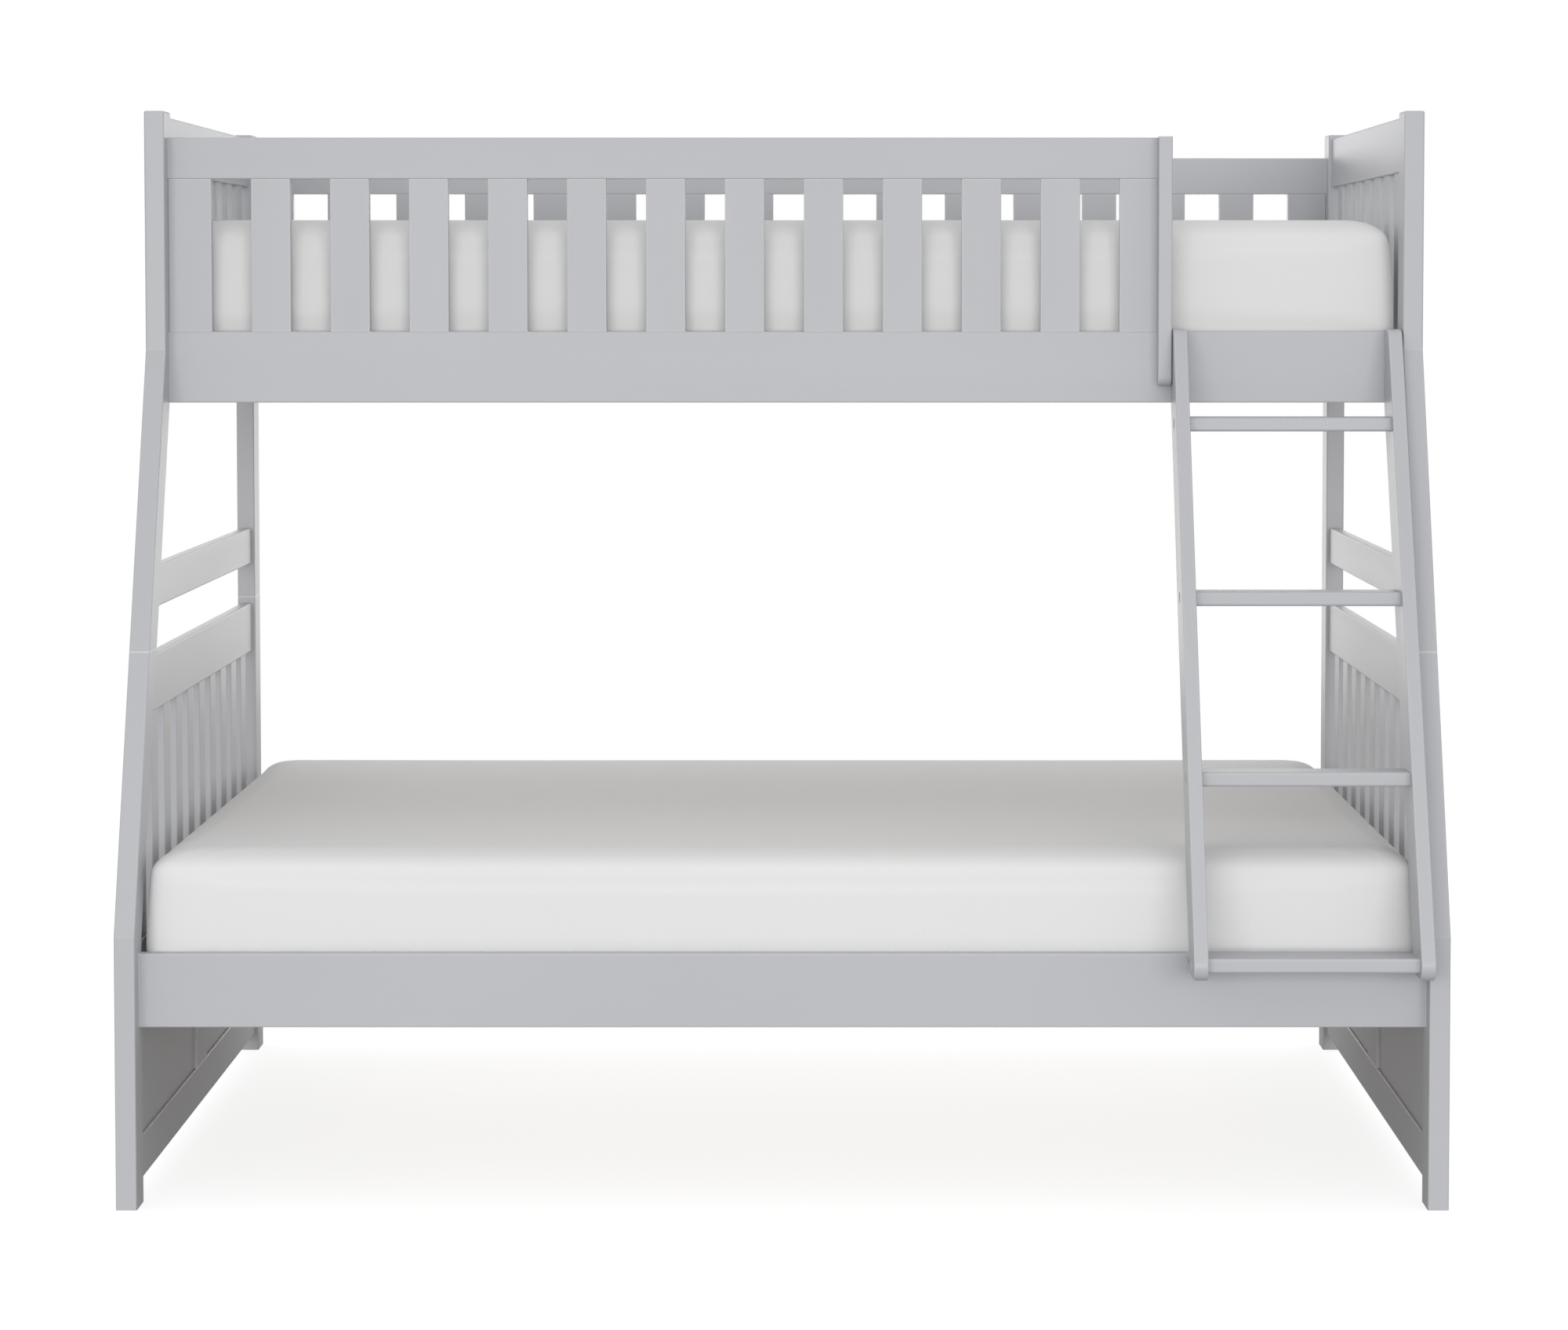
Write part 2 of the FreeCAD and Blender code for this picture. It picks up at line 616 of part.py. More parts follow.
def hook(x):
    """A flat steel strap bent over the side rail's top edge."""
    front = (ladder_back_y() - HOOK_THICK, ladder_back_y())
    back = (UPPER_FRONT_RAIL_Y[1] + REST_GAP, UPPER_FRONT_RAIL_Y[1] + REST_GAP + HOOK_THICK)
    bottom = UPPER_RAIL_TOP + REST_GAP
    wide = around(x, HOOK_WIDE)
    plate = block(wide, front, (bottom - 2 * HOOK_DROP, bottom + HOOK_THICK))
    bridge = block(wide, (front[0], back[1]), (bottom, bottom + HOOK_THICK))
    leg = block(wide, back, (bottom - HOOK_DROP, bottom + HOOK_THICK))
    bent = plate.multiFuse([bridge, leg]).removeSplitter()
    tools = [hook_screw(x, z, FIT) for z in hook_screw_heights()]
    return cut_all(bent, tools)


def hook_rebate(x):
    y = (ladder_back_y() - HOOK_THICK - FIT, ladder_back_y() + 1)
    return block(around(x, HOOK_WIDE + 2 * FIT), y, (UPPER_RAIL_TOP - 2 * HOOK_DROP, LADDER_Z[1] + 1))


def hook_screw_heights():
    return [UPPER_RAIL_TOP - 2 * HOOK_DROP + 14.0, UPPER_RAIL_TOP - 30.0]


def hook_screw(x, z, gap=0.0):
    return screw((x, ladder_back_y() + gap, z), "y", -(26.0 + gap), SCREW_R + gap,
                 SCREW_HEAD_R + gap, HOOK_THICK * 0.8 + gap)


def bumper(x, gap=0.0):
    """A rubber buffer, let into the board, that meets the lower side rail."""
    depth = LADDER_BOARD_DEEP * 0.12
    start_y = ladder_front(BUMPER_Z) + LADDER_BOARD_DEEP - depth
    length = LOWER_FRONT_RAIL_Y[0] - REST_GAP - start_y
    return rod((x, start_y - gap, BUMPER_Z), "y", length + gap, BUMPER_R + gap)


def build_ladder():
    left_x = (LADDER_INNER_X, LADDER_INNER_X + LADDER_BOARD_THICK)
    right_x = (LADDER_OUTER_X - LADDER_BOARD_THICK, LADDER_OUTER_X)
    middles = [middle(left_x), middle(right_x)]
    keep("ladder_board_left", ladder_board(left_x, True))
    keep("ladder_board_right", ladder_board(right_x, False))
    tops = rung_heights()
    rungs = [cut_all(rung(top), [ladder_bolt(top, True, FIT), ladder_bolt(top, False, FIT)])
             for top in tops]
    keep("ladder_rungs", rungs)
    keep("ladder_bolts", [ladder_bolt(top, left) for top in tops for left in (True, False)])
    keep("ladder_hooks", [hook(x) for x in middles])
    keep("ladder_hook_screws", [hook_screw(x, z) for x in middles for z in hook_screw_heights()])
    keep("ladder_bumpers", [bumper(x) for x in middles])


# ---- mattresses ----

def at_height(z):
    """A test for edges that lie level at one height."""
    def wanted(edge):
        return abs(edge.BoundBox.ZMin - z) < 0.01 and abs(edge.BoundBox.ZMax - z) < 0.01
    return wanted


def loaf(x, y, z, axis, inwards):
    """A block whose long edges along one axis are round, the upper ones more than the lower."""
    upper, lower = at_height(z[1]), at_height(z[0])
    lengthwise = along(axis)
    form = ease(block(x, y, z), MATTRESS_TOP_ROUND - inwards,
                lambda edge: upper(edge) and lengthwise(edge))
    return ease(form, MATTRESS_BOTTOM_ROUND - inwards,
                lambda edge: lower(edge) and lengthwise(edge))


def rounded_form(spans, inwards):
    """The mattress's form, or the same form that much further in.

    It is what three forms share: one round at the front and rear, one at both ends and one at
    the upright corners."""
    x, y, z = [grow(span, -inwards) for span in spans]
    form = ease(block(x, y, z), MATTRESS_CORNER_ROUND - inwards, along("z"))
    return form.common(loaf(x, y, z, "x", inwards)).common(loaf(x, y, z, "y", inwards))


def mattress(width, high, front_rail_y, cleat_low):
    """A plain rounded form midway between its rails.

    The closed wall stands for cover and padding round a core of springs and air, so that the
    mattress weighs what a sprung one does."""
    bottom = cleat_low + CLEAT_HIGH + SLAT_THICK + REST_GAP
    spans = (around(0, MATTRESS_LONG), around(middle((front_rail_y[1], REAR_RAIL_Y[0])), width),
             (bottom, bottom + high))
    return rounded_form(spans, 0).cut(rounded_form(spans, MATTRESS_WALL))


# ---- the whole bed ----

def build_bed():
    post_tools = build_end_frames()
    places = bolt_places()
    guard_place = front_guard_bolt_place()
    right_bolts = [frame_bolt(place, FIT) for place in places]
    left_guard = [mirrored(frame_bolt(guard_place, FIT)), mirrored(barrel_nut(guard_place, FIT))]
    drillings = both_ends(right_bolts + [barrel_nut(place, FIT) for place in places]) + left_guard
    front_tools, rear_tools = build_guards(drillings)
    upper_screws = build_bed_base("upper", UPPER_CLEAT_Z, UPPER_FRONT_RAIL_Y)
    lower_screws = build_bed_base("lower", LOWER_CLEAT_Z, LOWER_FRONT_RAIL_Y)
    rails = {
        "upper_front": (UPPER_FRONT_RAIL_Y, UPPER_RAIL_Z, front_tools + upper_screws[0]),
        "upper_rear": (REAR_RAIL_Y, UPPER_RAIL_Z, rear_tools + upper_screws[1]),
        "lower_front": (LOWER_FRONT_RAIL_Y, LOWER_RAIL_Z, lower_screws[0]),
        "lower_rear": (REAR_RAIL_Y, LOWER_RAIL_Z, lower_screws[1]),
    }
    for name, (y, z, tools) in rails.items():
        keep("side_rail_" + name, side_rail(y, z, drillings + tools))
    pin_y = [middle((post_front(SEAM_Z), post_back(SEAM_Z))), middle((REAR_POST_Y, REAR_Y))]
    post_tools += right_bolts + [post_pin(y, FIT) for y in pin_y]
    fronts = [cut_all(blank, post_tools) for blank in front_post_blanks()]
    rears = [cut_all(blank, post_tools) for blank in rear_post_blanks()]
    for name, shape in zip(("front_lower", "front_upper", "rear_lower", "rear_upper"), fronts + rears):
        keep_pair("post_" + name, shape)
    left_upper = cut_all(pieces["post_front_upper_left"][0], left_guard)
    keep("post_front_upper_left", left_upper)
    keep("post_pins", both_ends([post_pin(y) for y in pin_y]))
    keep("frame_bolts", both_ends([frame_bolt(place) for place in places])
         + [mirrored(frame_bolt(guard_place))])
    keep("barrel_nuts", both_ends([barrel_nut(place) for place in places])
         + [mirrored(barrel_nut(guard_place))])
    build_ladder()
    keep("mattress_upper", mattress(UPPER_MATTRESS_WIDE, UPPER_MATTRESS_HIGH, UPPER_FRONT_RAIL_Y,
                                    UPPER_CLEAT_Z))
    keep("mattress_lower", mattress(LOWER_MATTRESS_WIDE, LOWER_MATTRESS_HIGH, LOWER_FRONT_RAIL_Y,
                                    LOWER_CLEAT_Z))


def write_parts():
    os.makedirs("parts", exist_ok=True)
    for name, shapes in pieces.items():
        whole = shapes[0] if len(shapes) == 1 else Part.makeCompound(shapes)
        whole.exportStep("parts/%s.step" % name)
        solids = sum(len(shape.Solids) for shape in shapes)
        good = all(shape.isValid() for shape in shapes)
        print("%-28s solids %3d of %3d  valid %s" % (name, solids, len(shapes), good))


build_bed()
write_parts()
print(len(pieces), "nodes")
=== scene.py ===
import json
import math

import bpy
import numpy as np
from bpy.props import FloatProperty, FloatVectorProperty, IntProperty, PointerProperty
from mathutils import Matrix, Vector


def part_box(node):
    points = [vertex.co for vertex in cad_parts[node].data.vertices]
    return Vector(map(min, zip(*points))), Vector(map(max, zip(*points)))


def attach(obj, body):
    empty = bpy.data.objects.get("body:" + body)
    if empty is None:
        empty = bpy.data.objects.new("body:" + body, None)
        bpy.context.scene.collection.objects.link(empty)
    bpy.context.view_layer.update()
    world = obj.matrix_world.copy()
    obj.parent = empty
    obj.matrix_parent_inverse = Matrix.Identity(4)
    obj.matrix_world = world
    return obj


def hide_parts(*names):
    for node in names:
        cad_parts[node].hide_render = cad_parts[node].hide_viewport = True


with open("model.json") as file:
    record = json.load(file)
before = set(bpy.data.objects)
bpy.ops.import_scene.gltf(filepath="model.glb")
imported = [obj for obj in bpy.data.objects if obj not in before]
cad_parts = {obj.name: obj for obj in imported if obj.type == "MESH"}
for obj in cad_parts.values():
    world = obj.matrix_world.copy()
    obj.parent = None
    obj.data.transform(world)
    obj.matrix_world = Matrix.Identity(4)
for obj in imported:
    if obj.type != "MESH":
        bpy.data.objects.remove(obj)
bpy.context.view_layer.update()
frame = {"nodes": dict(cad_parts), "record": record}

bl_info = {
    "name": "Bunk Bed Finisher",
    "version": (1, 0, 0),
    "blender": (4, 5, 0),
    "location": "View3D > Sidebar > Bunk Bed",
    "description": "Paints the bunk bed's boards, makes its two mattresses and sets up the studio",
    "category": "Object",
}

BODIES = {node: body for body, nodes in frame["record"]["behaviour"]["bodies"].items()
          for node in nodes}

# Which way each painted board's grain runs.
ALONG_BED = ("side_rail_", "guard_front_top_rail", "guard_rear_top_rail", "ladder_rungs")
ACROSS_BED = ("upper_end_top_rail", "upper_end_low_rail", "brace_rail", "lower_end_top_rail",
              "lower_end_mid_rail", "lower_end_bottom_rail", "lower_end_panels")
LEANING = ("ladder_board_",)
UPRIGHT = ("post_front_", "post_rear_", "upper_end_slats", "lower_end_slats", "lower_end_stile",
           "guard_front_slats", "guard_front_stiles", "guard_rear_slats", "guard_rear_stiles",
           "guard_end_batten")

# The ladder's boards come forward by this much for each metre of height.
LADDER_FORWARD = 0.4597
LADDER_LEAN = math.atan(LADDER_FORWARD)

# How far a grain pattern is drawn out: 1 across the board, this along it.
PAINT_DRAW = 0.035
PINE_DRAW = 0.08

# Painted highlight on the rounded edges: reach of the rounding, the two cosines between which the
# edge is blended in, and the pale colour painted there as a highlight.
EDGE_REACH = 0.0022
EDGE_STARTS, EDGE_FULL = 0.998, 0.93
EDGE_HIGHLIGHT_COLOUR = (0.90, 0.90, 0.91)

# The mattress's side: curve of its lean, rings per cell of height, how fast the upright
# corners open out with the inset, reach and pitch of the folds beside them, and how far
# inside its solid the settled cover is kept.
LEAN_CURVE = 1.6
RINGS_PER_CELL = 1.8
CORNER_OPENS = 0.25
FOLD_REACH = 0.12
FOLD_PITCH = 0.047
KEPT_INSIDE = 0.0005

FLOOR_SPOKES = 64
FLOOR_RINGS = 24


# ---- settings a user would change ----

def colour_setting(name, description, default):
    """A colour with a swatch."""
    return FloatVectorProperty(name=name, description=description, default=default, size=3,
                               min=0.0, max=1.0, subtype="COLOR")


def share_setting(name, description, default):
    """A share from 0 to 1."""
    return FloatProperty(name=name, description=description, default=default, min=0.0, max=1.0,
                         subtype="FACTOR")


def length_setting(name, description, default):
    """A length in metres."""
    return FloatProperty(name=name, description=description, default=default, min=0.0,
                         unit="LENGTH", precision=4)


class PaintSettings(bpy.types.PropertyGroup):
    """The light grey paint on every board that shows."""
    colour: colour_setting("Paint", "Colour of the satin paint", (0.461, 0.466, 0.487))
    unevenness: share_setting("Unevenness", "How far the paint's tone wanders along a board", 0.035)
    roughness: share_setting("Roughness", "How matt the dry paint is", 0.42)
    grain_depth: length_setting("Grain depth", "Depth of the grain that shows through", 0.00006)
    brush_depth: length_setting("Spray texture", "Depth of the fine sprayed texture", 0.000035)
    # Painted highlight: how far the rounded edges are blended towards a pale colour.
    edge_highlight: share_setting("Edge highlight", "How much paler the rubbed edges are", 0.6)


class PineSettings(bpy.types.PropertyGroup):
    """The bare planed pine of the slats and cleats under the mattresses."""
    early_wood: colour_setting("Early wood", "Pale wood between the rings", (0.72, 0.57, 0.39))
    late_wood: colour_setting("Late wood", "Darker wood of the rings", (0.55, 0.38, 0.22))
    ring_pitch: length_setting("Ring pitch", "Spacing of the growth rings", 0.009)
    roughness: share_setting("Roughness", "How matt the planed wood is", 0.62)


class HardwareSettings(bpy.types.PropertyGroup):
    """Bolts, pins, screws, hooks and rubber buffers."""
    zinc: colour_setting("Zinc", "Colour of the zinc plating", (0.58, 0.59, 0.60))
    black_oxide: colour_setting("Black oxide", "Colour of the bolt heads", (0.045, 0.045, 0.050))
    rubber: colour_setting("Rubber", "Colour of the buffers", (0.028, 0.028, 0.030))


class MattressSettings(bpy.types.PropertyGroup):
    """The two smooth white mattresses."""
    colour: colour_setting("Cover", "Colour of the knitted cover", (0.755, 0.755, 0.755))
    top_reach: length_setting("Top edge reach", "How far in the top edge's rounding starts", 0.066)
    top_drop: length_setting("Top edge drop", "How far down the top edge's rounding ends", 0.034)
    foot_round: length_setting("Bottom rounding", "Radius of the bottom edge", 0.017)
    corner_round: length_setting("Corner rounding", "Radius of the four upright corners", 0.016)
    crown: length_setting("Crown", "How far the middle of the top stands up", 0.002)
    taper: length_setting("Taper", "How far the sides lean in towards the top", 0.007)
    pull: length_setting("Corner pull", "Depth of the faint folds near the corners", 0.0005)
    clearance: length_setting("Clearance", "How far the cover starts inside its solid", 0.0018)
    swell: length_setting("Swell", "Most that the filling may push the cover out", 0.0020)
    cell: length_setting("Cell", "Size of one cell of the cover's grid", 0.016)
    knit_pitch: length_setting("Knit pitch", "Width of one rib of the knitted cover", 0.0022)
    frames: IntProperty(name="Settling steps", description="Steps the cover is settled for",
                        default=12, min=1)


class StudioSettings(bpy.types.PropertyGroup):
    """Floor, lights and camera."""
    floor_colour: colour_setting("Floor", "Colour of the studio floor", (0.34, 0.34, 0.34))
    floor_glow: share_setting("Floor glow", "How strongly the floor shines near the bed", 0.80)
    floor_bounce: share_setting("Floor bounce", "Share of that shine that lights the bed", 0.20)
    floor_radius: length_setting("Floor radius", "How far the floor reaches", 60.0)
    ambient: FloatProperty(name="Ambient", description="Strength of the even light from all round",
                           default=0.76, min=0.0)
    front_power: FloatProperty(name="Front light", description="Power of the wide light in front",
                               default=405.0, min=0.0, unit="POWER")
    rear_power: FloatProperty(name="Rear light", description="Power of the low light behind",
                              default=59.0, min=0.0, unit="POWER")
    camera_place: FloatVectorProperty(name="Camera", description="Where the camera stands",
                                      default=(0.073, -7.079, 1.398), size=3, unit="LENGTH")
    focal_mm: FloatProperty(name="Focal length", description="Focal length in millimetres",
                            default=97.13, min=1.0)
    look_down: FloatProperty(name="Look down", description="Angle of the view below level",
                             default=math.radians(3.10), subtype="ANGLE")
    slide: FloatProperty(name="Lens slide", default=-0.0294,
                         description="Sideways shift of the lens, in image widths")
    rise: FloatProperty(name="Lens rise", description="Upward shift of the lens, in image widths",
                        default=-0.09)


# ---- node materials ----

class Finish:
    """A material under construction: make() adds a node, join() wires two sockets."""

    def __init__(self, name):
        self.material = bpy.data.materials.new(name)
        self.material.use_nodes = True
        self.tree = self.material.node_tree
        self.tree.nodes.clear()
        self.surface = self.make("ShaderNodeBsdfPrincipled")
        out = self.make("ShaderNodeOutputMaterial")
        self.join(self.surface, "BSDF", out, "Surface")

    def make(self, kind, settings=None, **inputs):
        node = self.tree.nodes.new(kind)
        for key, value in (settings or {}).items():
            setattr(node, key, value)
        for key, value in inputs.items():
            node.inputs[key.replace("_", " ")].default_value = value
        return node

    def join(self, source, out, target, into):
        self.tree.links.new(source.outputs[out], target.inputs[into])

    def tint(self, source, target, index):
        """Wire source's colour into target's colour input number index."""
        colour = [socket for socket in source.outputs if socket.type == "RGBA"][0]
        inputs = [socket for socket in target.inputs if socket.type == "RGBA"]
        self.tree.links.new(colour, inputs[index])

    def place(self, scale=(1, 1, 1), turn=(0, 0, 0), source="Object"):
        """Coordinates in metres, stretched by scale and turned."""
        where = self.make("ShaderNodeTexCoord")
        mapping = self.make("ShaderNodeMapping", Scale=scale, Rotation=turn)
        self.join(where, source, mapping, "Vector")
        return mapping

    def noise(self, mapping, scale, detail, rough):
        """Cloudy noise, scale clouds to the metre."""
        node = self.make("ShaderNodeTexNoise", Scale=scale, Detail=detail, Roughness=rough)
        self.join(mapping, "Vector", node, "Vector")
        return node

    def spread(self, source, out, low, high):
        """Map 0..1 to low..high."""
        node = self.make("ShaderNodeMapRange", None, To_Min=low, To_Max=high)
        self.join(source, out, node, "Value")
        return node

    def blend(self, source, out, first, second):
        """A colour between first and second."""
        node = self.make("ShaderNodeMix", {"data_type": "RGBA"})
        colour_in = [socket for socket in node.inputs if socket.type == "RGBA"]
        colour_in[0].default_value = (*first, 1)
        colour_in[1].default_value = (*second, 1)
        self.join(source, out, node, "Factor")
        return node

    def multiply(self, first, second):
        """The product of two colours."""
        node = self.make("ShaderNodeMix", {"data_type": "RGBA", "blend_type": "MULTIPLY"},
                         Factor=1.0)
        self.tint(first, node, 0)
        self.tint(second, node, 1)
        return node

    def colour(self, source):
        """Give the surface source's colour."""
        colour = [socket for socket in source.outputs if socket.type == "RGBA"][0]
        self.tree.links.new(colour, self.surface.inputs["Base Color"])

    def bump(self, source, out, depth, before=None, strength=1.0):
        """Raise the surface by depth metres, over an earlier bump if there is one."""
        node = self.make("ShaderNodeBump", Strength=strength, Distance=depth)
        self.join(source, out, node, "Height")
        if before is not None:
            self.join(before, "Normal", node, "Normal")
        return node

    def set(self, **inputs):
        for key, value in inputs.items():
            self.surface.inputs[key.replace("_", " ")].default_value = value


def tinted(colour, amount):
    """The colour times one plus amount."""
    return tuple(min(1.0, part * (1 + amount)) for part in colour)


def painted_wood(name, settings, stretch, turn=(0, 0, 0)):
    """Satin paint over wood: grain drawn out along the board under a fine sprayed skin, and a
    painted highlight on the rounded edges.
    """
    finish = Finish(name)
    along = finish.place(scale=stretch, turn=turn)
    even = finish.place()
    grain = finish.noise(along, 55.0, 5.0, 0.6)
    skin = finish.noise(even, 900.0, 2.0, 0.5)
    tone = finish.noise(even, 2.6, 3.0, 0.5)
    body = finish.blend(tone, "Fac", tinted(settings.colour, -settings.unevenness),
                        tinted(settings.colour, settings.unevenness))
    # Painted highlight: where the bevelled normal turns away from the face's normal, at the rounded
    # edges, the paint is blended towards a pale colour.
    soft = finish.make("ShaderNodeBevel", {"samples": 4}, Radius=EDGE_REACH)
    shape = finish.make("ShaderNodeNewGeometry")
    turned = finish.make("ShaderNodeVectorMath", {"operation": "DOT_PRODUCT"})
    finish.join(soft, "Normal", turned, 0)
    finish.join(shape, "Normal", turned, 1)
    edge = finish.make("ShaderNodeMapRange", {"interpolation_type": "SMOOTHSTEP"},
                       From_Min=EDGE_STARTS, From_Max=EDGE_FULL, To_Min=0.0,
                       To_Max=settings.edge_highlight)
    finish.join(turned, "Value", edge, "Value")
    highlighted = finish.blend(edge, "Result", settings.colour, EDGE_HIGHLIGHT_COLOUR)
    finish.tint(body, highlighted, 0)
    finish.colour(highlighted)
    sheen = finish.noise(along, 9.0, 4.0, 0.6)
    gloss = finish.spread(sheen, "Fac", settings.roughness - 0.06, settings.roughness + 0.08)
    finish.join(gloss, "Result", finish.surface, "Roughness")
    deep = finish.bump(grain, "Fac", settings.grain_depth)
    fine = finish.bump(skin, "Fac", settings.brush_depth, deep, 0.6)
    finish.join(fine, "Normal", finish.surface, "Normal")
    finish.set(IOR=1.48)
    return finish.material


def bare_pine(name, settings, stretch, rings):
    """Planed softwood: rings as waves bent by noise, fine fibres and a soft sheen."""
    finish = Finish(name)
    along = finish.place(scale=stretch)
    bend = finish.noise(along, 4.0, 3.0, 0.5)
    wave = finish.make("ShaderNodeTexWave", {"bands_direction": rings},
                       Scale=0.5 / settings.ring_pitch / math.pi, Distortion=6.0, Detail=3.0,
                       Detail_Scale=1.4)
    finish.join(along, "Vector", wave, "Vector")
    sharp = finish.make("ShaderNodeMath", {"operation": "POWER"})
    sharp.inputs[1].default_value = 2.4
    finish.join(wave, "Fac", sharp, 0)
    body = finish.blend(sharp, "Value", settings.early_wood, settings.late_wood)
    patch = finish.blend(bend, "Fac", (0.92, 0.90, 0.86), (1.0, 1.0, 1.0))
    finish.colour(finish.multiply(body, patch))
    fibre = finish.noise(along, 260.0, 3.0, 0.6)
    gloss = finish.spread(fibre, "Fac", settings.roughness - 0.08, settings.roughness + 0.12)
    finish.join(gloss, "Result", finish.surface, "Roughness")
    finish.join(finish.bump(fibre, "Fac", 0.00012), "Normal", finish.surface, "Normal")
    return finish.material


def plated_metal(name, colour, roughness, metallic=1.0):
    """Plated or blackened steel: blotchy tone, fine scratches, uneven gloss."""
    finish = Finish(name)
    even = finish.place()
    tone = finish.noise(even, 120.0, 4.0, 0.6)
    body = finish.blend(tone, "Fac", tinted(colour, -0.14), tinted(colour, 0.14))
    finish.colour(body)
    scratch = finish.noise(finish.place(scale=(1, 1, 14)), 300.0, 3.0, 0.6)
    gloss = finish.spread(scratch, "Fac", roughness - 0.08, roughness + 0.12)
    finish.join(gloss, "Result", finish.surface, "Roughness")
    finish.join(finish.bump(scratch, "Fac", 0.00002), "Normal", finish.surface, "Normal")
    finish.set(Metallic=metallic)
    return finish.material


def moulded_rubber(name, colour):
    """Matt rubber with a fine pitted skin."""
    finish = Finish(name)
    even = finish.place()
    pits = finish.noise(even, 700.0, 3.0, 0.6)
    tone = finish.noise(even, 60.0, 3.0, 0.5)
    body = finish.blend(tone, "Fac", tinted(colour, -0.2), tinted(colour, 0.3))
    finish.colour(body)
    gloss = finish.spread(pits, "Fac", 0.62, 0.82)
    finish.join(gloss, "Result", finish.surface, "Roughness")
    finish.join(finish.bump(pits, "Fac", 0.00005), "Normal", finish.surface, "Normal")
    return finish.material


def knitted_cover(name, settings):
    """Fine white knit on the piece's own UV map: ribs crossed by rows of stitches, soft fuzz."""
    finish = Finish(name)
    cloth = finish.place(source="UV")
    rate = 0.5 / settings.knit_pitch
    stitch = finish.make("ShaderNodeMath", {"operation": "MULTIPLY"})
    for index, (direction, share) in enumerate((("X", 1.0), ("Y", 0.8))):
        wave = finish.make("ShaderNodeTexWave", {"bands_direction": direction},
                           Scale=rate * share, Distortion=0.6, Detail=1.0, Detail_Scale=3.0)
        finish.join(cloth, "Vector", wave, "Vector")
        finish.join(wave, "Fac", stitch, index)
    tone = finish.noise(cloth, 3.0, 4.0, 0.5)
    fuzz = finish.noise(cloth, 500.0, 2.0, 0.6)
    body = finish.blend(tone, "Fac", tinted(settings.colour, -0.012),
                        tinted(settings.colour, 0.012))
    shade = finish.blend(stitch, "Value", (0.965, 0.965, 0.965), (1.0, 1.0, 1.0))
    finish.colour(finish.multiply(body, shade))
    gloss = finish.spread(fuzz, "Fac", 0.82, 0.95)
    finish.join(gloss, "Result", finish.surface, "Roughness")
    soft = finish.bump(stitch, "Value", 0.00012, None, 0.5)
    loose = finish.bump(fuzz, "Fac", 0.00005, soft, 0.4)
    finish.join(loose, "Normal", finish.surface, "Normal")
    finish.set(Sheen_Weight=0.12, Sheen_Roughness=0.5, Specular_IOR_Level=0.25)
    return finish.material


def studio_floor(name, settings):
    """A pale matt floor whose shine grows with distance from the bed, while its own colour
    fades out, as on a lit sweep. Only part of the shine lights the bed."""
    finish = Finish(name)
    where = finish.make("ShaderNodeTexCoord")
    flat = finish.make("ShaderNodeVectorMath", {"operation": "LENGTH"})
    finish.join(where, "Object", flat, 0)
    far = finish.make("ShaderNodeMapRange", {"interpolation_type": "SMOOTHSTEP"},
                      From_Min=1.2, From_Max=5.0)
    finish.join(flat, "Value", far, "Value")
    grain = finish.noise(finish.place(), 35.0, 3.0, 0.5)
    body = finish.blend(grain, "Fac", tinted(settings.floor_colour, -0.006),
                        tinted(settings.floor_colour, 0.006))
    dim = finish.blend(far, "Result", (1, 1, 1), (0, 0, 0))
    finish.colour(finish.multiply(body, dim))
    glow = finish.spread(far, "Result", settings.floor_glow, 1.0)
    rays = finish.make("ShaderNodeLightPath")
    seen = finish.spread(rays, "Is Camera Ray", settings.floor_bounce, 1.0)
    shine = finish.make("ShaderNodeMath", {"operation": "MULTIPLY"})
    finish.join(glow, "Result", shine, 0)
    finish.join(seen, "Result", shine, 1)
    finish.join(shine, "Value", finish.surface, "Emission Strength")
    finish.set(Roughness=0.9, Emission_Color=(1, 1, 1, 1), Specular_IOR_Level=0.0)
    return finish.material


def dress(prefixes, material):
    """Put one material on every CAD node whose name starts with one of the prefixes."""
    names = [name for name in frame["nodes"] if name.startswith(prefixes)]
    if not names:
        raise RuntimeError("no node is called %s" % (prefixes,))
    for name in names:
        slots = frame["nodes"][name].material_slots
        for slot in slots:
            slot.material = material
        if not slots:
            frame["nodes"][name].data.materials.append(material)


# ---- mattress shape ----

def rounded_outline(half_x, half_y, corner, turn):
    """Points round a rectangle with round corners.

    Each of the four quarters runs from the middle of one side to the middle of the next: a
    straight, then a quarter circle of radius `corner` about a point `corner` inside both
    sides, then a straight. `turn` is the share of the way round, 0 to 1, and the places are
    spaced evenly along the length."""
    straight_x = half_x - corner
    straight_y = half_y - corner
    arc = corner * math.pi / 2
    quarter = straight_x + straight_y + arc
    run = (turn * 4) % 1 * quarter
    side = np.floor(turn * 4).astype(int) % 4
    flip = side % 2 == 1
    run = np.where(flip, quarter - run, run)
    angle = np.clip((run - straight_y) / arc, 0, 1) * math.pi / 2
    x = straight_x + corner * np.cos(angle) - np.clip(run - straight_y - arc, 0, None)
    y = np.minimum(run, straight_y) + corner * np.sin(angle)
    sign_x = np.where((side == 0) | (side == 3), 1, -1)
    sign_y = np.where(side < 2, 1, -1)
    return x * sign_x, y * sign_y


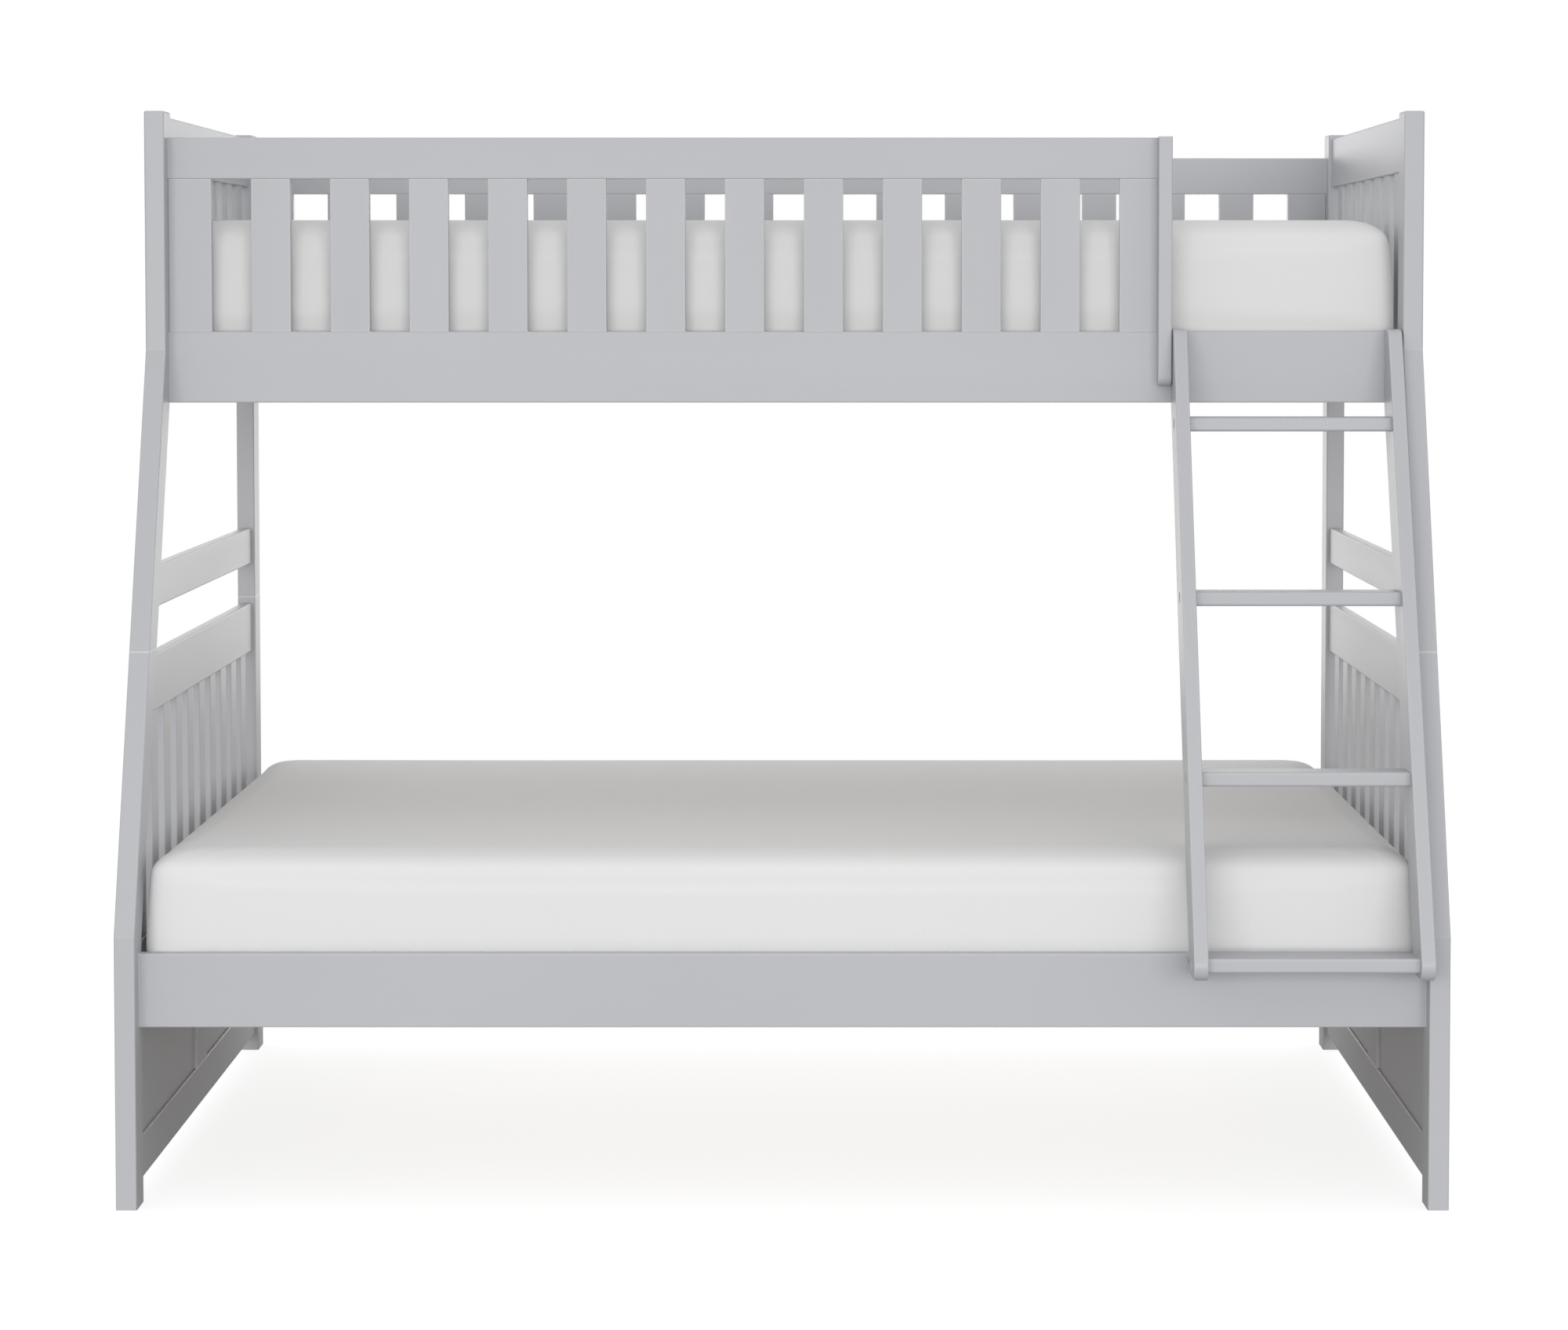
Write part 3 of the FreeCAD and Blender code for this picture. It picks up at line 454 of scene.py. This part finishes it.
def side_profile(settings, high, rings):
    """Inset and height up the side, from the bottom to the top.

    A quarter circle of radius `foot_round`, a wall that leans in by `taper`, and a quarter of
    an ellipse, `top_drop` high and `top_reach` wide. The places are spread evenly along it."""
    quarter = np.linspace(0, math.pi / 2, 40)
    wall = np.linspace(0, 1, 60)
    wall_low, wall_high = settings.foot_round, high - settings.top_drop
    height = np.concatenate([wall_low * (1 - np.cos(quarter)),
                             wall_low + (wall_high - wall_low) * wall,
                             wall_high + settings.top_drop * np.sin(quarter)])
    inset = np.concatenate([settings.foot_round * (1 - np.sin(quarter)),
                            settings.taper * wall ** LEAN_CURVE,
                            settings.taper + settings.top_reach * (1 - np.cos(quarter))])
    run = np.concatenate([[0], np.cumsum(np.hypot(np.diff(inset), np.diff(height)))])
    places = np.linspace(0, run[-1], rings)
    return np.interp(places, run, inset), np.interp(places, run, height)


def mattress_arrays(settings, low, high):
    """Vertices, faces and cloth coordinates of a closed mattress between two corners.

    The side is the profile carried round the outline. Top and bottom are one grid each,
    whose border is the last ring, filled by adding the two ways of drawing straight lines
    across it and taking away the one drawn from its corners."""
    size = high - low
    half = size / 2 - settings.clearance
    centre = (high + low) / 2
    nx = int(round(size[0] / settings.cell / 2)) * 2
    ny = int(round(size[1] / settings.cell / 2)) * 2
    around = 2 * (nx + ny)
    tall = size[2] - 2 * settings.clearance
    rings = int(round((tall + settings.top_reach) / settings.cell * RINGS_PER_CELL))
    inset, height = side_profile(settings, tall, rings)
    start = (ny / 2) / around
    turn = (np.arange(around) / around - start) % 1.0
    xs, ys, zs = [], [], []
    fold = corner_folds(settings, half, turn)
    for step, up in zip(inset, height):
        corner = settings.corner_round + step * CORNER_OPENS
        x, y = rounded_outline(half[0] - step, half[1] - step, corner, turn)
        fade = math.sin(math.pi * up / tall) ** 2
        reach = np.hypot(x / half[0], y / half[1])
        xs.append(x - fold * fade * x / half[0] / reach)
        ys.append(y - fold * fade * y / half[1] / reach)
        zs.append(np.full(around, up))
    ring_points = np.stack([np.array(xs), np.array(ys), np.array(zs)], axis=-1)
    top = cap_grid(ring_points[-1], nx, ny)
    bottom = cap_grid(ring_points[0], nx, ny)
    top[..., 2] += settings.crown * crown_share(nx, ny)
    base = centre - np.array([0, 0, tall / 2])
    inner_top = top[1:-1, 1:-1].reshape(-1, 3)
    inner_bottom = bottom[1:-1, 1:-1].reshape(-1, 3)
    points = np.concatenate([ring_points.reshape(-1, 3), inner_top, inner_bottom]) + base
    faces = side_faces(rings, around)
    faces += cap_faces(nx, ny, (rings - 1) * around, rings * around, False)
    faces += cap_faces(nx, ny, 0, rings * around + len(inner_top), True)
    return points, faces


def corner_folds(settings, half, turn):
    """Faint upright folds: a sine round the outline, kept to the stretches near the corners."""
    x, y = rounded_outline(half[0], half[1], settings.corner_round, turn)
    away = np.hypot(half[0] - np.abs(x), half[1] - np.abs(y))
    near = np.exp(-(away / FOLD_REACH) ** 2)
    length = turn * 4 * (half[0] + half[1])
    return settings.pull * near * (0.5 + 0.5 * np.sin(length * 2 * math.pi / FOLD_PITCH))


def crown_share(nx, ny):
    """How much of the crown each place gets: one in the middle, nothing at the border."""
    s = np.linspace(-1, 1, nx + 1)[:, None]
    t = np.linspace(-1, 1, ny + 1)[None, :]
    return (1 - s ** 4) * (1 - t ** 4)


def border_order(nx, ny):
    """Grid places (i, j) round the border, in the order of a ring's points."""
    right = [(nx, j) for j in range(0, ny)]
    back = [(i, ny) for i in range(nx, 0, -1)]
    left = [(0, j) for j in range(ny, 0, -1)]
    front = [(i, 0) for i in range(0, nx)]
    return np.array(right + back + left + front)


def cap_grid(ring, nx, ny):
    """A grid of points whose border is the ring."""
    grid = np.zeros((nx + 1, ny + 1, 3))
    order = border_order(nx, ny)
    grid[order[:, 0], order[:, 1]] = ring
    s = np.linspace(0, 1, nx + 1)[:, None, None]
    t = np.linspace(0, 1, ny + 1)[None, :, None]
    across = (1 - s) * grid[:1, :] + s * grid[-1:, :]
    along = (1 - t) * grid[:, :1] + t * grid[:, -1:]
    corners = ((1 - s) * (1 - t) * grid[0, 0] + s * (1 - t) * grid[-1, 0]
               + (1 - s) * t * grid[0, -1] + s * t * grid[-1, -1])
    filled = across + along - corners
    filled[order[:, 0], order[:, 1]] = ring
    return filled


def side_faces(rings, around):
    """Quads between each ring and the next: point k, k + 1, and the two above them."""
    first = np.arange(rings - 1)[:, None] * around
    k = np.arange(around)[None, :]
    after = (k + 1) % around
    above = first + around
    quads = np.stack([first + k, first + after, above + after, above + k], axis=-1)
    return quads.reshape(-1, 4).tolist()


def cap_faces(nx, ny, ring_start, inner_start, downwards):
    """Quads of one cap; border places use the ring's points, the rest their own."""
    index = np.zeros((nx + 1, ny + 1), int)
    index[1:-1, 1:-1] = inner_start + np.arange((nx - 1) * (ny - 1)).reshape(nx - 1, ny - 1)
    order = border_order(nx, ny)
    index[order[:, 0], order[:, 1]] = ring_start + np.arange(len(order))
    quads = np.stack([index[:-1, :-1], index[1:, :-1], index[1:, 1:], index[:-1, 1:]], axis=-1)
    quads = quads.reshape(-1, 4)
    return (quads[:, ::-1] if downwards else quads).tolist()


def new_piece(name, points, faces):
    """An object at the origin with these points and faces."""
    mesh = bpy.data.meshes.new(name)
    mesh.from_pydata(points.tolist(), [], faces)
    mesh.update()
    piece = bpy.data.objects.new(name, mesh)
    bpy.context.scene.collection.objects.link(piece)
    return piece


def cloth_map(mesh):
    """Cloth coordinates in metres: each face is laid flat along the axis it faces most."""
    count = len(mesh.loops)
    corner = np.zeros(count, np.int32)
    mesh.loops.foreach_get("vertex_index", corner)
    places = np.zeros(len(mesh.vertices) * 3, np.float32)
    mesh.vertices.foreach_get("co", places)
    places = places.reshape(-1, 3)[corner]
    normals = np.zeros(len(mesh.polygons) * 3, np.float32)
    mesh.polygons.foreach_get("normal", normals)
    sizes = np.zeros(len(mesh.polygons), np.int32)
    mesh.polygons.foreach_get("loop_total", sizes)
    facing = np.repeat(np.abs(normals.reshape(-1, 3)).argmax(axis=1), sizes)
    u = np.where(facing == 0, places[:, 1], places[:, 0])
    v = np.where(facing == 2, places[:, 1], places[:, 2])
    layer = mesh.uv_layers.new(name="cloth")
    layer.data.foreach_set("uv", np.stack([u, v], axis=-1).astype(np.float32).ravel())


def settle_cover(piece, settings, low, high):
    """Let the filling push the cover out, as a cloth under even pressure. Each point's move
    is shortened to `swell` where it is longer, and then kept inside the solid's box."""
    mesh = piece.data
    count = len(mesh.vertices)
    before = np.zeros(count * 3, np.float32)
    mesh.vertices.foreach_get("co", before)
    cloth = piece.modifiers.new("Cover", "CLOTH")
    cloth.settings.quality = 5
    cloth.settings.mass = 0.4
    cloth.settings.tension_stiffness = 30
    cloth.settings.compression_stiffness = 30
    cloth.settings.shear_stiffness = 12
    cloth.settings.bending_stiffness = 2.0
    cloth.settings.use_pressure = True
    cloth.settings.uniform_pressure_force = 1.5
    cloth.settings.effector_weights.gravity = 0.0
    cloth.collision_settings.use_collision = False
    scene = bpy.context.scene
    for step in range(1, settings.frames + 1):
        scene.frame_set(step)
    graph = bpy.context.evaluated_depsgraph_get()
    shown = piece.evaluated_get(graph).to_mesh()
    after = np.zeros(count * 3, np.float32)
    shown.vertices.foreach_get("co", after)
    piece.evaluated_get(graph).to_mesh_clear()
    piece.modifiers.remove(cloth)
    scene.frame_set(1)
    before = before.reshape(-1, 3)
    move = after.reshape(-1, 3) - before
    length = np.linalg.norm(move, axis=1, keepdims=True)
    move *= np.minimum(1.0, settings.swell / np.maximum(length, 1e-9))
    settled = np.clip(before + move, low + KEPT_INSIDE, high - KEPT_INSIDE)
    mesh.vertices.foreach_set("co", settled.astype(np.float32).ravel())
    mesh.update()


def make_mattress(node, settings, material):
    """The soft cover that stands in for one mattress's plain solid."""
    low, high = [np.array(corner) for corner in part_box(node)]
    points, faces = mattress_arrays(settings, low, high)
    piece = new_piece(node + "_cover", points, faces)
    settle_cover(piece, settings, low, high)
    cloth_map(piece.data)
    piece.data.materials.append(material)
    piece.data.shade_smooth()
    smooth = piece.modifiers.new("Smooth", "SUBSURF")
    smooth.levels = 1
    smooth.render_levels = 1
    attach(piece, BODIES[node])
    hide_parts(node)
    return piece


# ---- operators ----

class PaintBoards(bpy.types.Operator):
    """Paint every board that shows, with the grain along the board"""
    bl_idname = "bunk_bed.paint_boards"
    bl_label = "Paint the boards"

    def execute(self, context):
        paint = context.scene.bunk_bed_paint
        up = (1, 1, PAINT_DRAW)
        dress(ALONG_BED, painted_wood("paint_along_bed", paint, (PAINT_DRAW, 1, 1)))
        dress(ACROSS_BED, painted_wood("paint_across_bed", paint, (1, PAINT_DRAW, 1)))
        dress(UPRIGHT, painted_wood("paint_upright", paint, up))
        dress(LEANING, painted_wood("paint_leaning", paint, up, (LADDER_LEAN, 0, 0)))
        return {"FINISHED"}


class FinishBedBase(bpy.types.Operator):
    """Leave the slats and cleats under the mattresses as bare pine"""
    bl_idname = "bunk_bed.finish_bed_base"
    bl_label = "Finish the slats and cleats"

    def execute(self, context):
        pine = context.scene.bunk_bed_pine
        slats = bare_pine("pine_across_bed", pine, (1, PINE_DRAW, 1), "X")
        cleats = bare_pine("pine_along_bed", pine, (PINE_DRAW, 1, 1), "Z")
        dress(("upper_slats", "lower_slats"), slats)
        dress(("upper_cleats", "lower_cleats"), cleats)
        return {"FINISHED"}


class FinishHardware(bpy.types.Operator):
    """Plate the screws, pins and hooks, blacken the bolts and mould the rubber buffers"""
    bl_idname = "bunk_bed.finish_hardware"
    bl_label = "Finish the hardware"

    def execute(self, context):
        hardware = context.scene.bunk_bed_hardware
        zinc = plated_metal("zinc_plate", hardware.zinc, 0.34)
        dress(("post_pins", "barrel_nuts", "batten_screws", "ladder_hooks", "ladder_hook_screws",
               "upper_slat_screws", "upper_cleat_screws", "lower_slat_screws",
               "lower_cleat_screws"), zinc)
        dress(("frame_bolts", "ladder_bolts"),
              plated_metal("black_oxide", hardware.black_oxide, 0.42, 0.7))
        dress(("ladder_bumpers",), moulded_rubber("buffer_rubber", hardware.rubber))
        return {"FINISHED"}


class MakeMattresses(bpy.types.Operator):
    """Make the upper and the lower mattress, each a closed knitted cover over its filling"""
    bl_idname = "bunk_bed.make_mattresses"
    bl_label = "Make the mattresses"

    def execute(self, context):
        settings = context.scene.bunk_bed_mattress
        material = knitted_cover("white_knit", settings)
        for node in ("mattress_upper", "mattress_lower"):
            make_mattress(node, settings, material)
        return {"FINISHED"}


class SetStage(bpy.types.Operator):
    """Lay the studio floor, hang the lights and stand the camera"""
    bl_idname = "bunk_bed.set_stage"
    bl_label = "Set the studio"

    def execute(self, context):
        settings = context.scene.bunk_bed_studio
        lay_floor(settings)
        hang_lights(settings)
        stand_camera(settings)
        context.scene.view_settings.view_transform = "Standard"
        return {"FINISHED"}


def lay_floor(settings):
    """A flat disc: x and y are radius times cosine and sine of the angle, with the radii
    growing by an even ratio from half a metre to the rim."""
    radius = np.geomspace(0.5, settings.floor_radius, FLOOR_RINGS)[:, None]
    angle = np.arange(FLOOR_SPOKES) * 2 * math.pi / FLOOR_SPOKES
    x = (radius * np.cos(angle)).ravel()
    y = (radius * np.sin(angle)).ravel()
    points = np.concatenate([[[0, 0, 0]], np.stack([x, y, np.zeros_like(x)], axis=-1)])
    faces = [[0, 1 + k, 1 + (k + 1) % FLOOR_SPOKES] for k in range(FLOOR_SPOKES)]
    faces += (np.array(side_faces(FLOOR_RINGS, FLOOR_SPOKES)) + 1).tolist()
    floor = new_piece("studio_floor", points, faces)
    mesh = floor.data
    if mesh.polygons[FLOOR_SPOKES].normal.z < 0:
        mesh.flip_normals()
    mesh.materials.append(studio_floor("floor", settings))


def add_light(name, place, target, size, power):
    """A rectangular lamp that faces target and doesn't show itself."""
    light = bpy.data.lights.new(name, "AREA")
    light.shape = "RECTANGLE"
    light.size, light.size_y = size
    light.energy = power
    lamp = bpy.data.objects.new(name, light)
    lamp.location = place
    lamp.rotation_euler = (Vector(target) - Vector(place)).to_track_quat("-Z", "Y").to_euler()
    lamp.visible_camera = False
    bpy.context.scene.collection.objects.link(lamp)


def hang_lights(settings):
    """A white surround, whose light on the bed is `ambient`, and a wide lamp front and rear."""
    world = bpy.data.worlds.new("studio")
    world.use_nodes = True
    nodes, links = world.node_tree.nodes, world.node_tree.links
    rays = nodes.new("ShaderNodeLightPath")
    level = nodes.new("ShaderNodeMapRange")
    level.inputs["To Min"].default_value = settings.ambient
    level.inputs["To Max"].default_value = 1.0
    links.new(rays.outputs["Is Camera Ray"], level.inputs["Value"])
    links.new(level.outputs["Result"], nodes["Background"].inputs["Strength"])
    nodes["Background"].inputs["Color"].default_value = (1, 1, 1, 1)
    bpy.context.scene.world = world
    add_light("front", (0, -9.0, 1.7), (0, 0, 0.9), (9.0, 2.6), settings.front_power)
    add_light("rear", (0, 3.5, 1.2), (0, 0, 0.9), (6.0, 1.6), settings.rear_power)


def stand_camera(settings):
    """A camera that looks along +Y, a little down, with its lens slid and raised."""
    data = bpy.data.cameras.new("camera")
    data.sensor_width = 36.0
    data.lens = settings.focal_mm
    data.shift_x = settings.slide
    data.shift_y = settings.rise
    data.clip_end = 200.0
    camera = bpy.data.objects.new("camera", data)
    camera.location = settings.camera_place
    camera.rotation_euler = (math.pi / 2 - settings.look_down, 0, 0)
    bpy.context.scene.collection.objects.link(camera)
    bpy.context.scene.camera = camera


class BunkBedPanel(bpy.types.Panel):
    """Lists the steps that finish the bed"""
    bl_idname = "VIEW3D_PT_bunk_bed"
    bl_label = "Bunk Bed"
    bl_space_type = "VIEW_3D"
    bl_region_type = "UI"
    bl_category = "Bunk Bed"

    def draw(self, context):
        for step in STEPS:
            self.layout.operator(step.bl_idname)
        for group, kind in SETTINGS.items():
            box = self.layout.box()
            box.label(text=kind.__doc__)
            for name in kind.__annotations__:
                box.prop(getattr(context.scene, group), name)


SETTINGS = {
    "bunk_bed_paint": PaintSettings,
    "bunk_bed_pine": PineSettings,
    "bunk_bed_hardware": HardwareSettings,
    "bunk_bed_mattress": MattressSettings,
    "bunk_bed_studio": StudioSettings,
}
STEPS = (PaintBoards, FinishBedBase, FinishHardware, MakeMattresses, SetStage)


def register():
    """Make the settings, the steps and the panel known to Blender."""
    for group in SETTINGS.values():
        bpy.utils.register_class(group)
    for step in (*STEPS, BunkBedPanel):
        bpy.utils.register_class(step)
    for name, group in SETTINGS.items():
        setattr(bpy.types.Scene, name, PointerProperty(type=group))


def unregister():
    """Undo register, in the opposite order."""
    for name in SETTINGS:
        delattr(bpy.types.Scene, name)
    for step in (BunkBedPanel, *reversed(STEPS)):
        bpy.utils.unregister_class(step)
    for group in reversed(SETTINGS.values()):
        bpy.utils.unregister_class(group)


def run_step(step):
    """Call one operator by its idname, and stop if it doesn't finish."""
    family, name = step.bl_idname.split(".")
    if getattr(getattr(bpy.ops, family), name)() != {"FINISHED"}:
        raise RuntimeError(step.bl_idname + " did not finish")


def main():
    """Run every step in order."""
    register()
    for step in STEPS:
        run_step(step)


if __name__ == "__main__":
    main()
